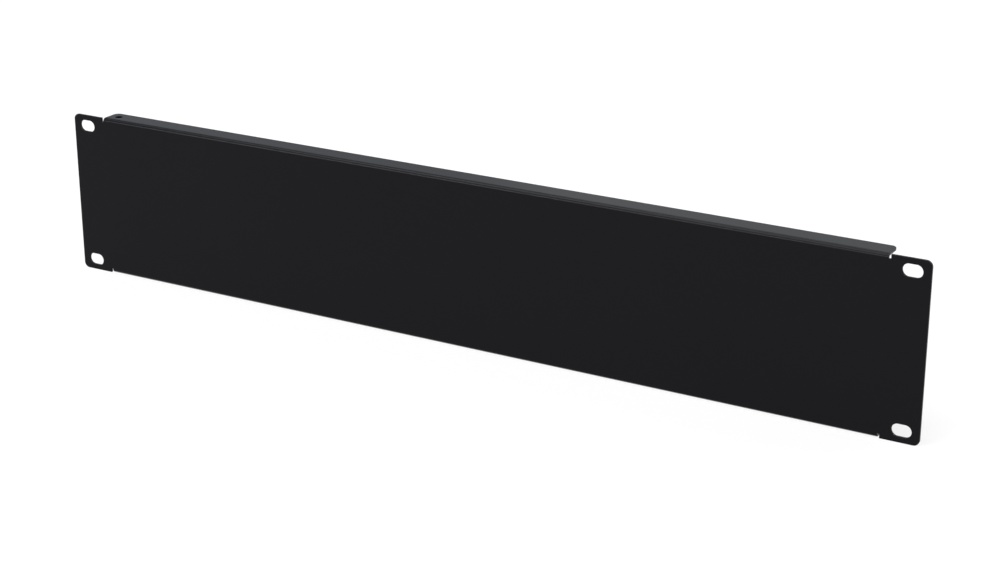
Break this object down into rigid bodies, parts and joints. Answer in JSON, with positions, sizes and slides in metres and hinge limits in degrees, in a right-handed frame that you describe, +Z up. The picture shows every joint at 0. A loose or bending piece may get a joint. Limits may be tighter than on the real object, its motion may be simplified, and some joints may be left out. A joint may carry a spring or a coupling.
{
  "type": "rack blanking panel",
  "caption": "Flat rack filler panel folded from sheet steel, with slotted ears and a flange folded back along its top and bottom edges.",
  "frame": {"origin": "middle of the four mounting slots, on the back of the ears, the plane that bears on the rack rails", "axes": "+X along the width to the right as seen from the front, +Y towards the rear, +Z up, front facing -Y"},
  "size_m": [0.4826, 0.012, 0.088],
  "materials": {
    "powder_coat": "satin black powder coat on every side"
  },
  "bodies": {
    "root": {"blanking_panel": "powder_coat"}
  },
  "joints": []
}
